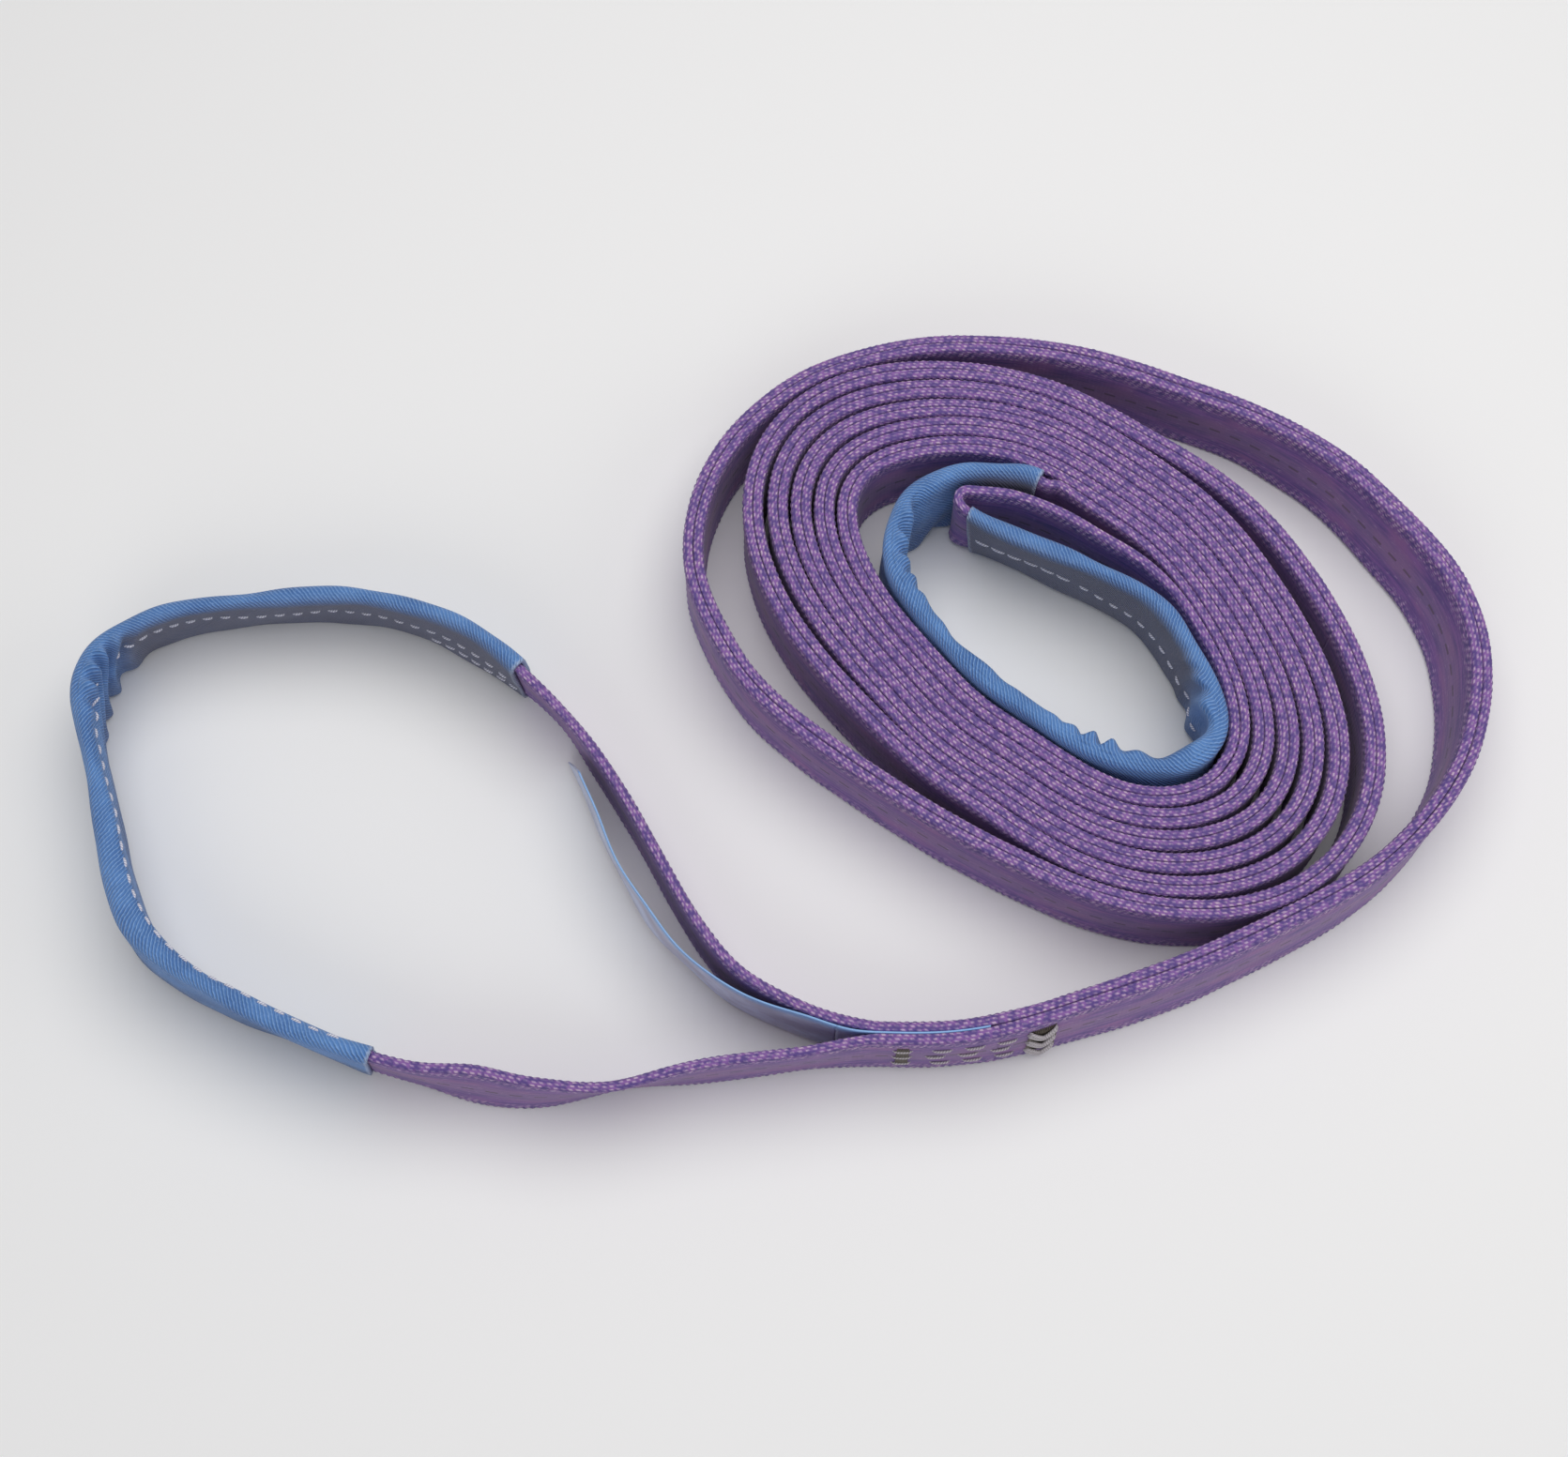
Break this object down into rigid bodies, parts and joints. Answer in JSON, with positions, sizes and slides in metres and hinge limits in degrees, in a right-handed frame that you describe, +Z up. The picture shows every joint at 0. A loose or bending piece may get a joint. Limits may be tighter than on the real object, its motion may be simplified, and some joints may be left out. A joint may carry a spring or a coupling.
{
  "type": "flat web sling",
  "caption": "Two-ply flat webbing sling with sleeved soft eyes, put away as a coil standing on its edge with one eye laid open beside it.",
  "frame": {"origin": "middle of the object's box, on the surface that it lies on", "axes": "+X to the right along the longest side, from the open eye towards the coil; +Y away from the viewer; +Z up, along the width of the webbing"},
  "size_m": [0.4376, 0.248, 0.034],
  "materials": {
    "violet_webbing": "coarse woven polyester webbing, matt",
    "blue_sleeve": "fine twill woven sleeve, soft sheen",
    "pale_blue_label": "smooth coated label, slight sheen",
    "white_thread": "sewing thread",
    "grey_thread": "sewing thread, soiled"
  },
  "bodies": {
    "coil": {"eye_2_bight": "violet_webbing", "eye_2_inner_leg": "violet_webbing", "eye_2_outer_leg": "violet_webbing", "eye_2_sleeve": "blue_sleeve", "eye_2_sleeve_seam": "white_thread", "throat_2_tack": "grey_thread", "turn_1_inner_ply": "violet_webbing", "turn_1_outer_ply": "violet_webbing", "turn_2_inner_ply": "violet_webbing", "turn_2_outer_ply": "violet_webbing", "turn_3_inner_ply": "violet_webbing", "turn_3_outer_ply": "violet_webbing", "turn_4_inner_ply": "violet_webbing", "turn_4_outer_ply": "violet_webbing", "turn_5_inner_ply": "violet_webbing", "turn_5_outer_ply": "violet_webbing", "turn_6_inner_ply": "violet_webbing", "turn_6_outer_ply": "violet_webbing"},
    "tail": {"tail_outer_ply": "violet_webbing", "tail_inner_ply": "violet_webbing", "label_sewn_end": "pale_blue_label", "throat_1_bar_tack": "grey_thread", "throat_1_chevron_tack": "white_thread", "throat_1_stitch_row_1": "white_thread", "throat_1_stitch_row_2": "white_thread", "throat_1_stitch_row_3": "white_thread"},
    "outer_eye": {"eye_1_bight": "violet_webbing", "eye_1_lower_leg": "violet_webbing", "eye_1_sleeve": "blue_sleeve", "eye_1_sleeve_seam": "white_thread", "eye_1_upper_leg": "violet_webbing", "label_neck": "pale_blue_label"},
    "label": {"label_free_end": "pale_blue_label"}
  },
  "joints": [
    {"name": "tail_swing", "type": "hinge", "parent": "coil", "child": "tail", "pos_m": [0.19322, -0.042, 0.015], "axis": [0, 0, 1], "range_deg": [0, 20]},
    {"name": "eye_swing", "type": "hinge", "parent": "tail", "child": "outer_eye", "pos_m": [0.02772, -0.1065, 0.015], "axis": [0, 0, 1], "range_deg": [-14, 25]},
    {"name": "label_swing", "type": "hinge", "parent": "outer_eye", "child": "label", "pos_m": [0.00872, -0.1017, 0.015], "axis": [0, 0, 1], "range_deg": [-2, 25]}
  ]
}
